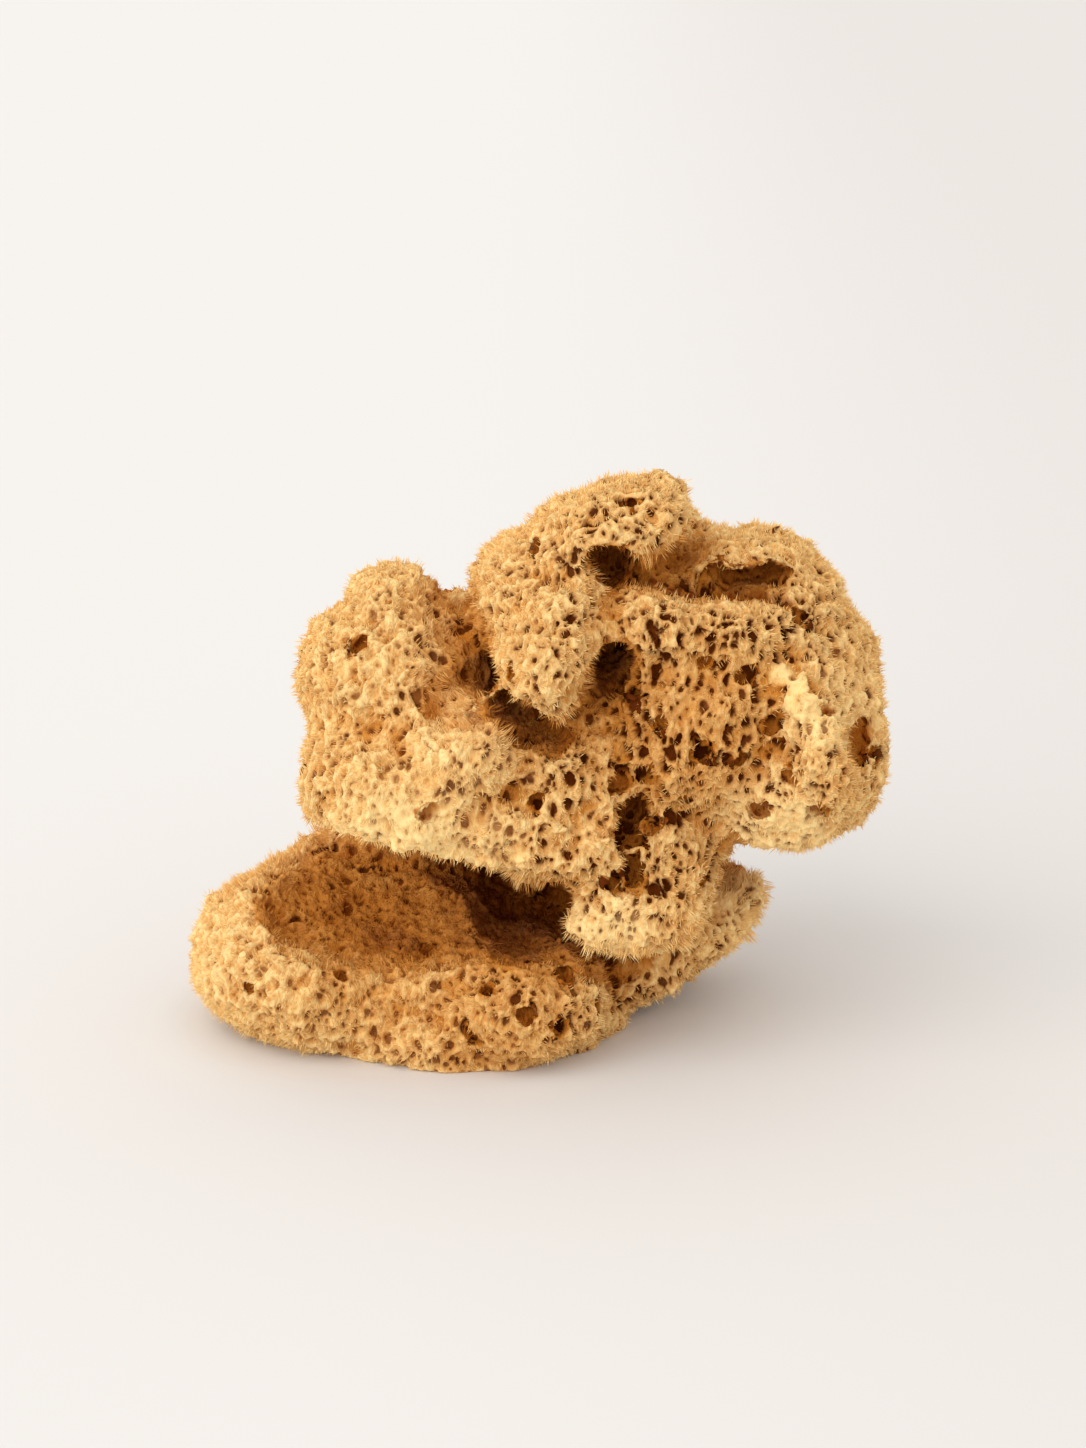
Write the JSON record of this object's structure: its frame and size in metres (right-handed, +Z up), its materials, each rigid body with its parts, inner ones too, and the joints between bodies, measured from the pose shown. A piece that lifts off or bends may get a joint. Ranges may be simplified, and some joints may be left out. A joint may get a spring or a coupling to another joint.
{
  "type": "sea sponge",
  "caption": "Natural dried sea sponge grown as one piece: a folded, lobed upper mass full of pores, held over a scooped foot by a short column.",
  "frame": {"origin": "on the surface that the sponge rests on, under the middle of its outline seen from above", "axes": "+X along the sponge's width, to the right in the picture; +Y away from the viewer; +Z up"},
  "size_m": [0.151, 0.0864, 0.1237],
  "materials": {
    "sponge_fibre": "matte, porous, felted fibre"
  },
  "bodies": {
    "root": {"sponge": "sponge_fibre"}
  },
  "joints": []
}
